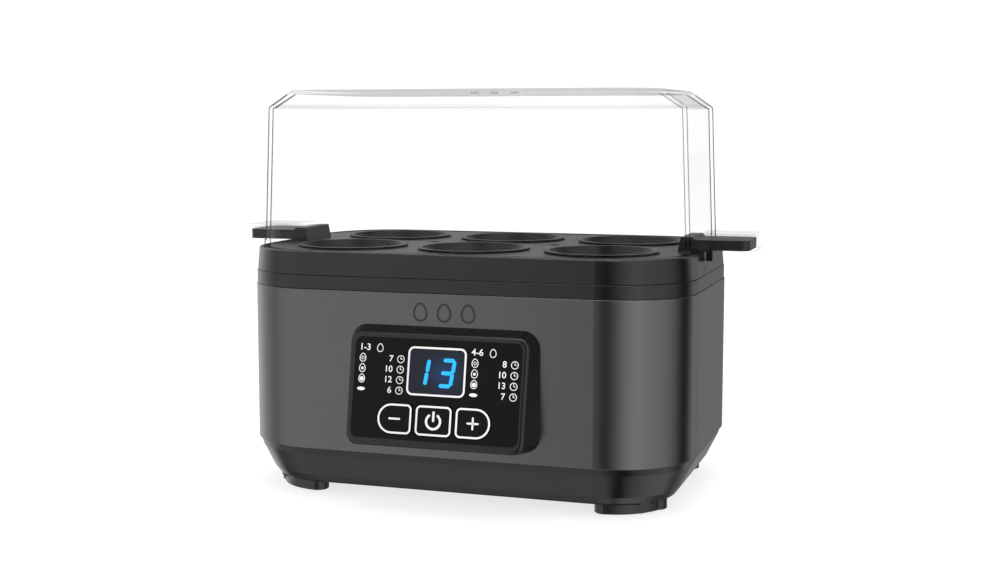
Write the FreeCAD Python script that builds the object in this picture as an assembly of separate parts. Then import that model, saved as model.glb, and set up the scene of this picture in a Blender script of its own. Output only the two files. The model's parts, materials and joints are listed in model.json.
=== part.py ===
"""Egg cooker with a clear lid, a lift-out egg tray, a heated water pan and a front control panel.

Millimetres. +Z is up, +X runs along the longer side, and the controls face -Y.
The origin is at the middle of the footprint, on the surface that the feet stand on.
"""

import FreeCAD, Part
import math
import os

from FreeCAD import Placement, Rotation, Vector

# ---------------------------------------------------------------- driving dimensions
# Body outline: a rounded rectangle with half width, half depth and corner radius.
WALL_A = 85.45
WALL_B = 57.35
WALL_R = 31.0
SHELL_WALL = 1.8

# Heights of the levels, from the surface that the object stands on.
FOOT_TOP = 4.0
BASE_TOP = 18.6
SHELL_TOP = 77.9
BAND_TOP = 82.95
RIM_TOP = 91.55
LID_BEVEL_Z = 144.1
LID_TOP = 150.4

# How far the outline steps in at each level.
BAND_INSET = 0.25
COLLAR_INSET_LOW = 0.45
COLLAR_INSET_TOP = 1.2
BASE_PROFILE = ((0.75, 18.6), (1.35, 16.2), (5.7, 7.4), (8.2, FOOT_TOP))

# Lid
LID_BOTTOM = 91.7
LID_WALL = 1.5
LID_INSET_LOW = 3.5
LID_INSET_HIGH = 5.5
LID_INSET_TOP = 14.4
VENT_R = 1.6
VENT_PITCH = 8.0

# Clear caps of the lid, over the tray's handles
CAP_END = 102.7
CAP_HALF = 13.0
CAP_TOP = 97.6
CAP_WALL = 1.3
CAP_CORNER = 4.5
CAP_ROOT_HALF = 17.0
CAP_FLARE_X = (82.2, 86.4)

# Tray
TRAY_TOP = 91.4
TRAY_THICK = 1.5
TRAY_INSET = 3.5
EGG_PITCH = 49.0
SEAT_R_TOP = 19.6
SEAT_R_LOW = 17.6
SEAT_LOW = 88.0
SEAT_WALL = 1.6
HANDLE_END = 100.5
HANDLE_HALF = 11.0
HANDLE_BOTTOM = 91.9
HANDLE_TOP = 95.6
UPSTAND_X = (75.5, 79.6)
UPSTAND_TOP = 96.6
TOOTH_X = (84.9, 87.2)
TOOTH_LOW = 88.0
TOOTH_WIDTH = 2.4
SLIT_Y = -13.5
SLIT_Z = (83.6, 87.9)

# Collar: lip, inner ledge and outer skirt
LIP_INSET = 3.0
LEDGE_LOW = 88.1
LEDGE_TOP = 89.6
LEDGE_INSET = 8.45

# Water pan
PAN_FLANGE_Z = 86.6
PAN_FLOOR_Z = 66.0
PAN_WALL = 0.8
PAN_INSET = 15.5
PAN_CORNER = 24.0

# Heater under the pan, and the shield below it
SPREADER_Z = (62.4, 65.2)
ELEMENT_Z = 59.0
ELEMENT_R = 3.2
SHIELD_Z = (43.0, 43.8)

# Feet
FOOT_LOW = 0.35
FOOT_INSETS = (9.6, 17.6)
FOOT_SPAN = (29.5, 25.0)
PAD_R = 3.1

# Power board on its four stand-offs
POWER_BOARD_Z = (13.0, 14.6)

# Control panel: its face leans back by this angle, and its frame is a wedge
PANEL_TILT = 11.1
FACE_TOP_Y = -63.1
FACE_TOP_Z = 63.0
BEZEL_HALF = 33.0
BEZEL_V = (-39.0, 1.0)
BEZEL_CORNER = 4.0
BEZEL_BACK = (35.6, 22.6, 66.2, 6.5)
PLATE_HALF = 31.0
PLATE_V = (-36.2, -0.6)
PLATE_THICK = 1.5
WINDOW_HALF = 11.0
WINDOW_V = (-20.5, -3.1)
KEY_V = (-34.5, -23.5)
KEY_GAP = 0.25
KEY_TRAVEL = 0.6
PLUNGER_LOW = -5.6
KEYS = {"minus": (-21.2, -8.0), "power": (-6.9, 6.9), "plus": (8.0, 21.2)}
BOARD_W = -8.0
BOARD_THICK = 1.6

# Cord inlet at the back
INLET_Z = 33.0
INLET_X = 40.0
CORD_BORE_R = 3.2
GLAND_OUT = 9.0
GLAND_NECK_R = 6.1
GLAND_MOUTH = 0.8  # the bore is wider up to here, measured from the wall's outer face

# The panel stands out further than the gland, so the footprint's middle lies forward of the body's.
PANEL_FRONT = FACE_TOP_Y + BEZEL_V[0] * math.sin(math.radians(PANEL_TILT))
ORIGIN_SHIFT_Y = -(PANEL_FRONT + WALL_B + GLAND_OUT) / 2

SCREW_R = 1.5
POST_REACH = WALL_R - 13.6
POST_XY = (
    WALL_A - WALL_R + POST_REACH * math.sqrt(0.5),
    WALL_B - WALL_R + POST_REACH * math.sqrt(0.5),
)
EGG_SPOTS = [(i * EGG_PITCH, j * EGG_PITCH / 2) for i in (-1, 0, 1) for j in (-1, 1)]
CORNERS = [(-1, -1), (1, -1), (-1, 1), (1, 1)]


# ---------------------------------------------------------------- shape helpers
def rounded_wire(x_half, y_low, y_high, radius, z=0.0):
    """Closed outline of a rounded rectangle, symmetric in x, in the plane at height z."""
    r = radius
    s = r * math.sqrt(0.5)
    corners = [
        (x_half - r, y_low + r, 1, -1),
        (x_half - r, y_high - r, 1, 1),
        (-x_half + r, y_high - r, -1, 1),
        (-x_half + r, y_low + r, -1, -1),
    ]
    edges = []
    last = None
    for i, (cx, cy, sx, sy) in enumerate(corners):
        on_side = Vector(cx + sx * r, cy, z)
        on_end = Vector(cx, cy + sy * r, z)
        start, stop = (on_end, on_side) if i % 2 == 0 else (on_side, on_end)
        if last is not None:
            edges.append(Part.LineSegment(last, start).toShape())
        edges.append(Part.Arc(start, Vector(cx + sx * s, cy + sy * s, z), stop).toShape())
        last = stop
    first = Vector(corners[0][0], y_low, z)
    edges.append(Part.LineSegment(last, first).toShape())
    return Part.Wire(edges)


def outline(inset, z, radius=None):
    """The outline, moved in by inset, at height z. Its corners stay concentric unless given a radius."""
    a, b = WALL_A - inset, WALL_B - inset
    return rounded_wire(a, -b, b, radius or WALL_R - inset, z)


def loft(wires):
    return Part.makeLoft(wires, True, True)


def slab(inset, z_low, z_high):
    return Part.Face(outline(inset, z_low)).extrude(Vector(0, 0, z_high - z_low))


def ring(outer, inner, z_low, z_high):
    """A ring with an upright outside and inside, given by their insets."""
    return slab(outer, z_low, z_high).cut(slab(inner, z_low - 1, z_high + 1))


def box(x, y, z):
    """A box from its (low, high) pairs."""
    size = (x[1] - x[0], y[1] - y[0], z[1] - z[0])
    return Part.makeBox(*size, Vector(x[0], y[0], z[0]))


def cylinder(radius, x, y, z_low, z_high):
    return Part.makeCylinder(radius, z_high - z_low, Vector(x, y, z_low))


def tube(points, radius, bend):
    """A round rod along straight runs joined by arcs of one radius."""
    points = [Vector(*p) for p in points]
    edges = []
    last = points[0]
    for before, corner, after in zip(points, points[1:], points[2:]):
        u = (before - corner).normalize()
        v = (after - corner).normalize()
        half_angle = u.getAngle(v) / 2
        setback = bend / math.tan(half_angle)
        start = corner + u * setback
        stop = corner + v * setback
        bisector = (u + v).normalize()
        middle = corner + bisector * (bend / math.sin(half_angle) - bend)
        edges.append(Part.LineSegment(last, start).toShape())
        edges.append(Part.Arc(start, middle, stop).toShape())
        last = stop
    edges.append(Part.LineSegment(last, points[-1]).toShape())
    path = Part.Wire(edges)
    direction = points[1] - points[0]
    circle = Part.Wire(Part.makeCircle(radius, points[0], direction))
    return path.makePipeShell([circle], True, True)


def screw(x, y, z_head, head_r, head_h, length, down=-1):
    """A pan-head screw whose shank runs from the head in the direction down (-1) or up (1)."""
    head_z = (z_head, z_head + head_h) if down < 0 else (z_head - head_h, z_head)
    shank_z = (z_head - length, z_head) if down < 0 else (z_head, z_head + length)
    head = cylinder(head_r, x, y, *head_z)
    head = head.makeFillet(head_h * 0.35, [edge_at(head, head_z[1] if down < 0 else head_z[0])])
    recess_z = (head_z[1] - 0.8, head_z[1]) if down < 0 else (head_z[0], head_z[0] + 0.8)
    slot = box((x - 1.6, x + 1.6), (y - 0.35, y + 0.35), recess_z)
    cross = box((x - 0.35, x + 0.35), (y - 1.6, y + 1.6), recess_z)
    return head.fuse(cylinder(SCREW_R, x, y, *shank_z)).cut(slot).cut(cross).removeSplitter()


def edge_at(shape, z):
    """The first round edge that lies at height z."""
    for e in shape.Edges:
        if abs(e.BoundBox.ZMin - z) < 1e-6 and abs(e.BoundBox.ZMax - z) < 1e-6:
            return e
    raise ValueError("no edge at that height")


def soften(shape, radius, z):
    """Rounds every edge of the outline that lies at height z."""
    edges = [e for e in shape.Edges
             if abs(e.BoundBox.ZMin - z) < 1e-5 and abs(e.BoundBox.ZMax - z) < 1e-5]
    return shape.makeFillet(radius, edges)


def upright_edges(shape, radius, test=lambda e: True):
    """Rounds the straight upright edges that pass the test."""
    edges = [e for e in shape.Edges
             if len(e.Vertexes) == 2
             and abs(e.Vertexes[0].X - e.Vertexes[1].X) < 1e-6
             and abs(e.Vertexes[0].Y - e.Vertexes[1].Y) < 1e-6
             and test(e)]
    return shape.makeFillet(radius, edges)


def both_ends(piece):
    """The piece and its mirror image across the body's middle, as one list."""
    return [piece, piece.mirror(Vector(0, 0, 0), Vector(1, 0, 0))]


def half_turn(piece):
    """The piece and its copy turned half round the upright axis, so that either end can face either way."""
    turned = piece.copy()
    turned.rotate(Vector(0, 0, 0), Vector(0, 0, 1), 180)
    return [piece, turned]


# ---------------------------------------------------------------- lid
def lid_block(shrink, bottom):
    """The lid's outside, or with shrink its inside."""
    return loft([
        outline(LID_INSET_LOW + shrink, bottom),
        outline(LID_INSET_HIGH + shrink, LID_BEVEL_Z - shrink * 0.4),
        outline(LID_INSET_TOP + shrink * 0.6, LID_TOP - shrink),
    ])


def cap_block(shrink):
    """The outside of the right-hand cap, or with shrink its inside, open at the bottom.

    It flares where it meets the lid's wall.
    """
    root, half, end = CAP_ROOT_HALF - shrink, CAP_HALF - shrink, CAP_END - shrink
    start = UPSTAND_X[0] - 4
    z = (LID_BOTTOM - (1 if shrink else 0), CAP_TOP - shrink)
    near_side = [(start, -root), (CAP_FLARE_X[0], -root), (CAP_FLARE_X[1], -half), (end, -half)]
    far_side = [(x, -y) for x, y in reversed(near_side)]
    corners = [Vector(x, y, z[0]) for x, y in near_side + far_side]
    block = Part.Face(Part.makePolygon(corners + [corners[0]])).extrude(Vector(0, 0, z[1] - z[0]))
    return upright_edges(block, CAP_CORNER - shrink, lambda e: e.Vertexes[0].X > end - 0.1)


def lid_shell():
    outside = soften(lid_block(0, LID_BOTTOM), 1.6, LID_BEVEL_Z)
    outside = soften(outside, 1.6, LID_TOP)
    foot_bead = slab(LID_INSET_LOW - 0.45, LID_BOTTOM, LID_BOTTOM + 2.4)
    foot_bead = soften(foot_bead, 0.4, LID_BOTTOM + 2.4)
    lid = outside.fuse([foot_bead] + both_ends(soften(cap_block(0), 0.9, CAP_TOP)))
    lid = lid.cut([lid_block(LID_WALL, LID_BOTTOM - 0.01)] + both_ends(cap_block(CAP_WALL)))
    vents = [cylinder(VENT_R, i * VENT_PITCH, 0, LID_TOP - 5, LID_TOP + 1) for i in (-1, 0, 1)]
    return lid.cut(vents).removeSplitter()


# ---------------------------------------------------------------- tray
def egg_seat(x, y):
    """A short funnel that an egg stands in, before its hole is cut."""
    low, top = SEAT_LOW, TRAY_TOP + 0.8
    return Part.makeCone(SEAT_R_LOW + SEAT_WALL, SEAT_R_TOP + SEAT_WALL, top - low, Vector(x, y, low))


def egg_seat_hole(x, y):
    low, top = SEAT_LOW - 0.5, TRAY_TOP + 1.3
    return Part.makeCone(SEAT_R_LOW, SEAT_R_TOP, top - low, Vector(x, y, low))


def tray_handle():
    """The right-hand upstand with the flat handle."""
    profile = [
        Vector(UPSTAND_X[0] - 1.2, 0, TRAY_TOP - 0.4),
        Vector(UPSTAND_X[0], 0, UPSTAND_TOP),
        Vector(UPSTAND_X[1], 0, UPSTAND_TOP),
        Vector(UPSTAND_X[1] + 1.2, 0, HANDLE_TOP),
        Vector(HANDLE_END, 0, HANDLE_TOP),
        Vector(HANDLE_END, 0, HANDLE_BOTTOM),
        Vector(UPSTAND_X[1], 0, HANDLE_BOTTOM),
        Vector(UPSTAND_X[1], 0, TRAY_TOP - 0.4),
    ]
    face = Part.Face(Part.makePolygon(profile + [profile[0]]))
    handle = face.extrude(Vector(0, 2 * HANDLE_HALF, 0))
    handle.translate(Vector(0, -HANDLE_HALF, 0))
    return upright_edges(handle, 3.5, lambda e: e.Vertexes[0].X > HANDLE_END - 0.1)


def tray_tooth():
    """The tooth under the right-hand handle that drops just outside the collar."""
    y = (-HANDLE_HALF, -HANDLE_HALF + TOOTH_WIDTH)
    return box(TOOTH_X, y, (TOOTH_LOW, HANDLE_BOTTOM + 0.5))


def egg_tray():
    plate = soften(slab(TRAY_INSET, TRAY_TOP - TRAY_THICK, TRAY_TOP), 0.5, TRAY_TOP)
    skirt = ring(LEDGE_INSET + 0.4, LEDGE_INSET + 1.8, SEAT_LOW, TRAY_TOP - TRAY_THICK)
    seats = [egg_seat(x, y) for x, y in EGG_SPOTS]
    holes = [egg_seat_hole(x, y) for x, y in EGG_SPOTS]
    drains = [cylinder(2.2, i * EGG_PITCH / 2, 0, 85, 95) for i in (-1, 1)]
    tray = plate.fuse([skirt] + seats + both_ends(tray_handle()) + half_turn(tray_tooth()))
    return tray.cut(holes + drains).removeSplitter()


# ---------------------------------------------------------------- housing
def top_collar():
    outside = loft([outline(COLLAR_INSET_LOW, BAND_TOP), outline(COLLAR_INSET_TOP, RIM_TOP)])
    outside = soften(outside, 0.6, RIM_TOP)
    outside = soften(outside, 0.3, BAND_TOP)
    collar = outside.cut(slab(LIP_INSET, BAND_TOP - 1, RIM_TOP + 1))
    ledge = ring(LIP_INSET - 0.2, LEDGE_INSET, LEDGE_LOW, LEDGE_TOP)
    slit = box((WALL_A - 1.3, WALL_A), (SLIT_Y - 0.25, SLIT_Y + 0.25), SLIT_Z)
    return collar.fuse(ledge).cut(half_turn(slit)).removeSplitter()


def trim_band():
    band = slab(BAND_INSET, SHELL_TOP, BAND_TOP)
    band = soften(band, 0.3, BAND_TOP)
    band = soften(band, 0.3, SHELL_TOP)
    lip = ring(SHELL_WALL + 0.2, SHELL_WALL + 1.6, SHELL_TOP - 5, SHELL_TOP + 0.5)
    return band.cut(slab(SHELL_WALL + 1.6, SHELL_TOP - 1, BAND_TOP + 1)).fuse(lip).removeSplitter()


def panel_place():
    """Carries the panel's own frame (x across, y up the face, z out of it) to the body's."""
    turn = Rotation(Vector(1, 0, 0), 90 - PANEL_TILT)
    return Placement(Vector(0, FACE_TOP_Y, FACE_TOP_Z), turn)


def on_panel(shape):
    moved = shape.copy()
    moved.Placement = panel_place().multiply(moved.Placement)
    return moved


def panel_slab(half, v, radius, w_low, w_high):
    face = Part.Face(rounded_wire(half, v[0], v[1], radius, w_low))
    return face.extrude(Vector(0, 0, w_high - w_low))


def wall_window():
    """The opening in the wall that the controls reach into the body through."""
    return box((-30.0, 30.0), (-WALL_B - 1, -WALL_B + SHELL_WALL + 1), (27.0, 61.5))


def bezel_screw_spots():
    return [(x, z) for x in (-32.2, 32.2) for z in (31.0, 58.0)]


def along_y(radius, x, z, y_low, y_high):
    return Part.makeCylinder(radius, y_high - y_low, Vector(x, y_low, z), Vector(0, 1, 0))


def outer_shell():
    shell = slab(0, BASE_TOP, SHELL_TOP)
    shell = soften(shell, 0.35, SHELL_TOP)
    shell = soften(shell, 0.35, BASE_TOP)
    shell = shell.cut(slab(SHELL_WALL, BASE_TOP - 1, SHELL_TOP + 1))
    holes = [along_y(SCREW_R + 0.1, x, z, -WALL_B - 1, -WALL_B + 3) for x, z in bezel_screw_spots()]
    gland_hole = along_y(GLAND_NECK_R + 0.2, INLET_X, INLET_Z, WALL_B - 3, WALL_B + 1)
    return shell.cut([wall_window(), gland_hole] + holes).removeSplitter()


def base_cover():
    outside = loft([outline(inset, z) for inset, z in reversed(BASE_PROFILE)])
    wall = 2.2
    floor_lift = {FOOT_TOP: wall}
    inside = loft([outline(inset + wall, z + floor_lift.get(z, 0)) for inset, z in reversed(BASE_PROFILE)])
    inside = inside.fuse(slab(BASE_PROFILE[0][0] + wall, BASE_TOP - 0.5, BASE_TOP + 2))
    lip = ring(SHELL_WALL + 0.2, BASE_PROFILE[0][0] + 2.6, BASE_TOP - 2, BASE_TOP + 5)
    cover = soften(outside, 2.2, FOOT_TOP).cut(inside).fuse(lip)
    x, y = POST_XY
    for sx, sy in CORNERS:
        cup = cylinder(6.2, sx * x, sy * y, FOOT_TOP, 10.0)
        cover = cover.fuse(cup)
        cover = cover.cut(cylinder(4.2, sx * x, sy * y, FOOT_TOP - 1, 7.6))
        cover = cover.cut(cylinder(SCREW_R + 0.1, sx * x, sy * y, 3, 11))
    for x, y in board_spots():
        stand_off = cylinder(3.0, x, y, 5.0, POWER_BOARD_Z[0])
        cover = cover.fuse(stand_off).cut(cylinder(SCREW_R + 0.05, x, y, 7, POWER_BOARD_Z[0] + 1))
    vents = [box((i * 7.0 - 1.2, i * 7.0 + 1.2), (-38.0, -14.0), (3.0, 8.0)) for i in range(-4, 5)]
    return cover.cut(vents).removeSplitter()


def corner_foot(sx, sy):
    """A foot that follows its corner: a band of the outline, a little way in, with round ends."""
    outer, inner = FOOT_INSETS
    middle, half_width = (outer + inner) / 2, (inner - outer) / 2
    x_end, y_end = -WALL_A + FOOT_SPAN[0], -WALL_B + FOOT_SPAN[1]
    z = (FOOT_LOW - 1, FOOT_TOP + 1)
    band = ring(outer, inner, FOOT_LOW, FOOT_TOP).common(box((-WALL_A, x_end), (-WALL_B, y_end), z))
    ends = [(x_end, -WALL_B + middle), (-WALL_A + middle, y_end)]
    rounds = [cylinder(half_width, x, y, FOOT_LOW, FOOT_TOP) for x, y in ends]
    foot = soften(band.fuse(rounds).removeSplitter(), 0.4, FOOT_LOW)
    foot = foot.cut(cylinder(PAD_R + 0.1, -POST_XY[0], -POST_XY[1], *z))
    if sx > 0:
        foot = foot.mirror(Vector(0, 0, 0), Vector(1, 0, 0))
    if sy > 0:
        foot = foot.mirror(Vector(0, 0, 0), Vector(0, 1, 0))
    return foot


def foot_pads():
    pads = []
    for sx, sy in CORNERS:
        pad = cylinder(PAD_R, sx * POST_XY[0], sy * POST_XY[1], 0, 2.8)
        pads.append(soften(pad, 0.35, 0))
    return Part.makeCompound(pads)


def tie_posts():
    """Four posts below the collar that the base's screws pull against."""
    posts = []
    for sx, sy in CORNERS:
        x, y = sx * POST_XY[0], sy * POST_XY[1]
        post = cylinder(3.2, x, y, 10.0, PAN_FLANGE_Z)
        posts.append(post.cut(cylinder(SCREW_R + 0.05, x, y, 9, 24)))
    return Part.makeCompound(posts)


def base_screws():
    screws = [screw(sx * POST_XY[0], sy * POST_XY[1], 7.6, 3.0, 2.2, 14, down=1) for sx, sy in CORNERS]
    return Part.makeCompound(screws)


# ---------------------------------------------------------------- heater
def pan_block(shrink, z_low, z_high, floor_round):
    """The pan's outside, or with shrink its inside: its sides lean out a little towards the top."""
    corner = PAN_CORNER - shrink
    low = outline(PAN_INSET + 1.5 + shrink, z_low, corner - 1.5)
    high = outline(PAN_INSET + shrink, z_high, corner)
    return soften(loft([low, high]), floor_round, z_low)


def heating_pan():
    """A shallow pan with a rounded floor edge and a flat flange round its top."""
    flange = slab(5.0, PAN_FLANGE_Z, PAN_FLANGE_Z + PAN_WALL)
    body = pan_block(0.0, PAN_FLOOR_Z - PAN_WALL, PAN_FLANGE_Z, 4.0)
    hollow = pan_block(PAN_WALL, PAN_FLOOR_Z, PAN_FLANGE_Z + 2, 3.2)
    return flange.fuse(body).cut(hollow).removeSplitter()


def pan_gasket():
    return ring(LEDGE_INSET - 3.0, LEDGE_INSET - 0.4, PAN_FLANGE_Z + PAN_WALL, LEDGE_LOW)


def heat_spreader():
    low, top = SPREADER_Z
    return Part.Face(rounded_wire(58.0, -30.0, 30.0, 16.0, low)).extrude(Vector(0, 0, top - low))


def heating_element():
    """A sheathed tube bent to a long loop under the spreader, its two ends turned down."""
    z, x, y = ELEMENT_Z, 50.0, 24.0
    loop = [(-x, y, z), (-x, -y, z), (x, -y, z), (x, y, z)]
    ends = [(side * 8, y) for side in (-1, 1)]
    first = [(*ends[0], 48), (*ends[0], z)]
    last = [(*ends[1], z), (*ends[1], 48)]
    return tube(first + loop + last, ELEMENT_R, 6.0)


def thermostat():
    body = cylinder(8.0, 0, 0, 54.0, SPREADER_Z[0] - 1.2)
    flange = cylinder(10.0, 0, 0, SPREADER_Z[0] - 1.2, SPREADER_Z[0])
    tabs = [box((s * 5 - 0.4, s * 5 + 0.4), (-3, 3), (47.5, 54.0)) for s in (-1, 1)]
    return body.fuse([flange] + tabs).removeSplitter()


def thermal_fuse():
    capsule = Part.makeCylinder(2.0, 11.0, Vector(22.0, -5.5, 59.6), Vector(0, 1, 0))
    leads = Part.makeCylinder(0.5, 22.0, Vector(22.0, -11.0, 59.6), Vector(0, 1, 0))
    return capsule.fuse(leads).removeSplitter()


def fuse_clip():
    strap = box((18.4, 25.6), (-2.5, 2.5), (56.9, SPREADER_Z[0]))
    return strap.cut(box((19.2, 24.8), (-3, 3), (57.3, 63))).removeSplitter()


def ntc_sensor():
    low = 56.4
    head = cylinder(3.0, -24, 0, low, SPREADER_Z[0])
    return head.makeFillet(0.8, [edge_at(head, low)])


def heat_shield():
    low, top = SHIELD_Z
    up = Vector(0, 0, top - low)
    plate = Part.Face(rounded_wire(60.0, -33.0, 33.0, 14.0, low)).extrude(up)
    rim = plate.cut(Part.Face(rounded_wire(59.0, -32.0, 32.0, 13.0, low)).extrude(up))
    rim.translate(up)
    holes = [cylinder(2.4, side * 8, 24, low - 1, top + 2) for side in (-1, 1)]
    return plate.fuse(rim).cut(holes).removeSplitter()


def shield_stays():
    """Four sleeves that hold the shield off the spreader."""
    stays = []
    for sx, sy in CORNERS:
        x, y = sx * 38.0, sy * 14.0
        sleeve = cylinder(2.2, x, y, SHIELD_Z[1], SPREADER_Z[0])
        stays.append(sleeve.cut(cylinder(1.2, x, y, SHIELD_Z[0], 50)))
    return Part.makeCompound(stays)


# ---------------------------------------------------------------- power electronics
def board_spots():
    return [(x, y) for x in (-50.0, 22.0) for y in (-4.0, 32.0)]


def power_board():
    low, top = POWER_BOARD_Z
    board = box((-54.0, 26.0), (-8.0, 36.0), (low, top))
    return board.cut([cylinder(SCREW_R + 0.1, x, y, low - 1, top + 1) for x, y in board_spots()])


def board_screws():
    return Part.makeCompound([screw(x, y, POWER_BOARD_Z[1], 2.8, 1.8, 6.5) for x, y in board_spots()])


def on_power_board(x, y, height):
    """An upright block that stands on the board."""
    return box(x, y, (POWER_BOARD_Z[1], POWER_BOARD_Z[1] + height))


def relay():
    height = 15.4
    body = upright_edges(on_power_board((-42.0, -23.0), (6.0, 21.5), height), 0.8)
    return soften(body, 0.6, POWER_BOARD_Z[1] + height)


def film_capacitor():
    height = 13.4
    body = upright_edges(on_power_board((-16.0, 2.0), (20.0, 28.0), height), 1.0)
    return soften(body, 0.8, POWER_BOARD_Z[1] + height)


def bulk_capacitor():
    top = POWER_BOARD_Z[1] + 16.0
    can = cylinder(5.0, -8.0, 6.0, POWER_BOARD_Z[1], top)
    return can.makeFillet(0.7, [edge_at(can, top)])


def terminal_block():
    block = on_power_board((6.0, 20.0), (4.0, 26.0), 10.0)
    wells = [cylinder(1.9, 13.0, 7.5 + i * 7.5, 20.0, 25.0) for i in range(3)]
    return block.cut(wells)


def buzzer():
    x, y, top = -33.0, 29.0, POWER_BOARD_Z[1] + 9.0
    return cylinder(6.0, x, y, POWER_BOARD_Z[1], top).cut(cylinder(1.0, x, y, top - 3.6, top + 1))


# ---------------------------------------------------------------- control panel
def key_outline(name, grow, w):
    """One key's outline: the outer keys are round at their outer side."""
    low, high = KEYS[name]
    small, large = 1.8, 5.4
    radii = {"minus": (large, small), "power": (small, small), "plus": (small, large)}[name]
    x0, x1 = low - grow, high + grow
    y0, y1 = KEY_V[0] - grow, KEY_V[1] + grow
    left, right = radii[0] + grow, radii[1] + grow
    spots = [(x0, y0, 1, 1, left), (x1, y0, -1, 1, right), (x1, y1, -1, -1, right), (x0, y1, 1, -1, left)]
    edges = []
    last = None
    first = None
    for i, (x, y, sx, sy, r) in enumerate(spots):
        centre = Vector(x + sx * r, y + sy * r, w)
        on_side = Vector(x, y + sy * r, w)
        on_end = Vector(x + sx * r, y, w)
        start, stop = (on_side, on_end) if i % 2 == 0 else (on_end, on_side)
        middle = centre - Vector(sx, sy, 0).normalize() * r
        if last is not None:
            edges.append(Part.LineSegment(last, start).toShape())
        else:
            first = start
        edges.append(Part.Arc(start, middle, stop).toShape())
        last = stop
    if (last - first).Length > 1e-6:
        edges.append(Part.LineSegment(last, first).toShape())
    return Part.Wire(edges)


def key_block(name, grow, w_low, w_high):
    return Part.Face(key_outline(name, grow, w_low)).extrude(Vector(0, 0, w_high - w_low))


def key_middle(name):
    low, high = KEYS[name]
    return (low + high) / 2, (KEY_V[0] + KEY_V[1]) / 2


def keycap(name):
    """A keycap with a flange that holds it behind the face plate."""
    cap = soften(key_block(name, 0, -2.2, 0.25), 0.25, 0.25)
    flange = key_block(name, 0.42, -2.6, -1.8)
    return on_panel(cap.fuse(flange).removeSplitter())


def plunger(name):
    x, y = key_middle(name)
    return on_panel(cylinder(1.7, x, y, PLUNGER_LOW, -2.6))


def tact_switches():
    bodies = []
    for name in KEYS:
        x, y = key_middle(name)
        body = box((x - 3, x + 3), (y - 3, y + 3), (BOARD_W, -4.9))
        well = cylinder(2.0, x, y, PLUNGER_LOW - KEY_TRAVEL - 0.4, -4)
        bodies.append(on_panel(body.cut(well)))
    return Part.makeCompound(bodies)


def board_post_spots():
    return [(x, y) for x in (-26.0, 26.0) for y in (-32.0, -5.0)]


def panel_bezel():
    """A wedge: flat on the wall behind, leaning back in front, with a recess for the face plate."""
    front = on_panel(rounded_wire(BEZEL_HALF, BEZEL_V[0], BEZEL_V[1], BEZEL_CORNER))
    half, z_low, z_high, radius = BEZEL_BACK
    back = rounded_wire(half, z_low, z_high, radius)
    back.Placement = Placement(Vector(0, -WALL_B, 0), Rotation(Vector(1, 0, 0), 90))
    block = Part.makeLoft([back, front], True, True)
    face_edges = [e for e in block.Edges if all(abs(panel_height(v.Point)) < 1e-4 for v in e.Vertexes)]
    block = block.makeFillet(1.5, face_edges)
    recess = panel_slab(PLATE_HALF + 0.1, (PLATE_V[0] - 0.1, PLATE_V[1] + 0.1), 2.6, -PLATE_THICK, 5)
    window = panel_slab(12.6, (WINDOW_V[0] - 1.2, WINDOW_V[1] + 1.2), 1.0, -30, 5)
    key_rooms = [key_block(name, 1.3, -4, 5) for name in KEYS]
    inside = box((-29.5, 29.5), (-35.0, -2.5), (-30, -3.4))
    posts = [cylinder(2.6, x, y, BOARD_W, -3.2) for x, y in board_post_spots()]
    pilots = [cylinder(SCREW_R + 0.05, x, y, BOARD_W - 1, -4.4) for x, y in board_post_spots()]
    block = block.cut([on_panel(s) for s in [recess, window, inside] + key_rooms])
    block = block.fuse([on_panel(p) for p in posts]).cut([on_panel(p) for p in pilots])
    screw_holes = [along_y(SCREW_R + 0.05, x, z, -WALL_B - 3.6, -WALL_B + 1) for x, z in bezel_screw_spots()]
    return block.cut(screw_holes).removeSplitter()


def panel_height(point):
    """How far a point stands out of the panel's face."""
    return panel_place().inverse().multVec(point).z


def panel_face():
    plate = panel_slab(PLATE_HALF, PLATE_V, 2.5, -PLATE_THICK, 0)
    window = panel_slab(WINDOW_HALF, WINDOW_V, 2.0, -3, 1)
    rooms = [key_block(name, KEY_GAP, -3, 1) for name in KEYS]
    return on_panel(plate.cut([window] + rooms).removeSplitter())


def display_window():
    pane = panel_slab(WINDOW_HALF - 0.05, (WINDOW_V[0] + 0.05, WINDOW_V[1] - 0.05), 1.95, -1.4, 0)
    back = panel_slab(WINDOW_HALF + 1.1, (WINDOW_V[0] - 0.8, WINDOW_V[1] + 0.8), 1.0, -2.2, -1.5)
    neck = panel_slab(WINDOW_HALF - 0.05, (WINDOW_V[0] + 0.05, WINDOW_V[1] - 0.05), 1.95, -1.6, -1.3)
    return on_panel(pane.fuse([neck, back]).removeSplitter())


def led_display():
    """The two-digit module behind the window."""
    body = box((-10.5, 10.5), (-19.8, -3.8), (BOARD_W, -2.6))
    return on_panel(body)


def control_board():
    board = box((-28.8, 28.8), (-34.0, -3.0), (BOARD_W - BOARD_THICK, BOARD_W))
    holes = [cylinder(SCREW_R + 0.1, x, y, BOARD_W - 3, BOARD_W + 1) for x, y in board_post_spots()]
    return on_panel(board.cut(holes))


def panel_screws():
    z = BOARD_W - BOARD_THICK
    screws = [screw(x, y, z, 2.6, 1.6, 4.6, down=1) for x, y in board_post_spots()]
    return Part.makeCompound([on_panel(s) for s in screws])


def bezel_screws():
    """Four screws from inside the wall into the bezel."""
    screws = []
    for x, z in bezel_screw_spots():
        head = along_y(2.7, x, z, -WALL_B + SHELL_WALL, -WALL_B + SHELL_WALL + 1.6)
        shank = along_y(SCREW_R, x, z, -WALL_B - 3.2, -WALL_B + SHELL_WALL)
        screws.append(head.fuse(shank).removeSplitter())
    return Part.makeCompound(screws)


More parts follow.
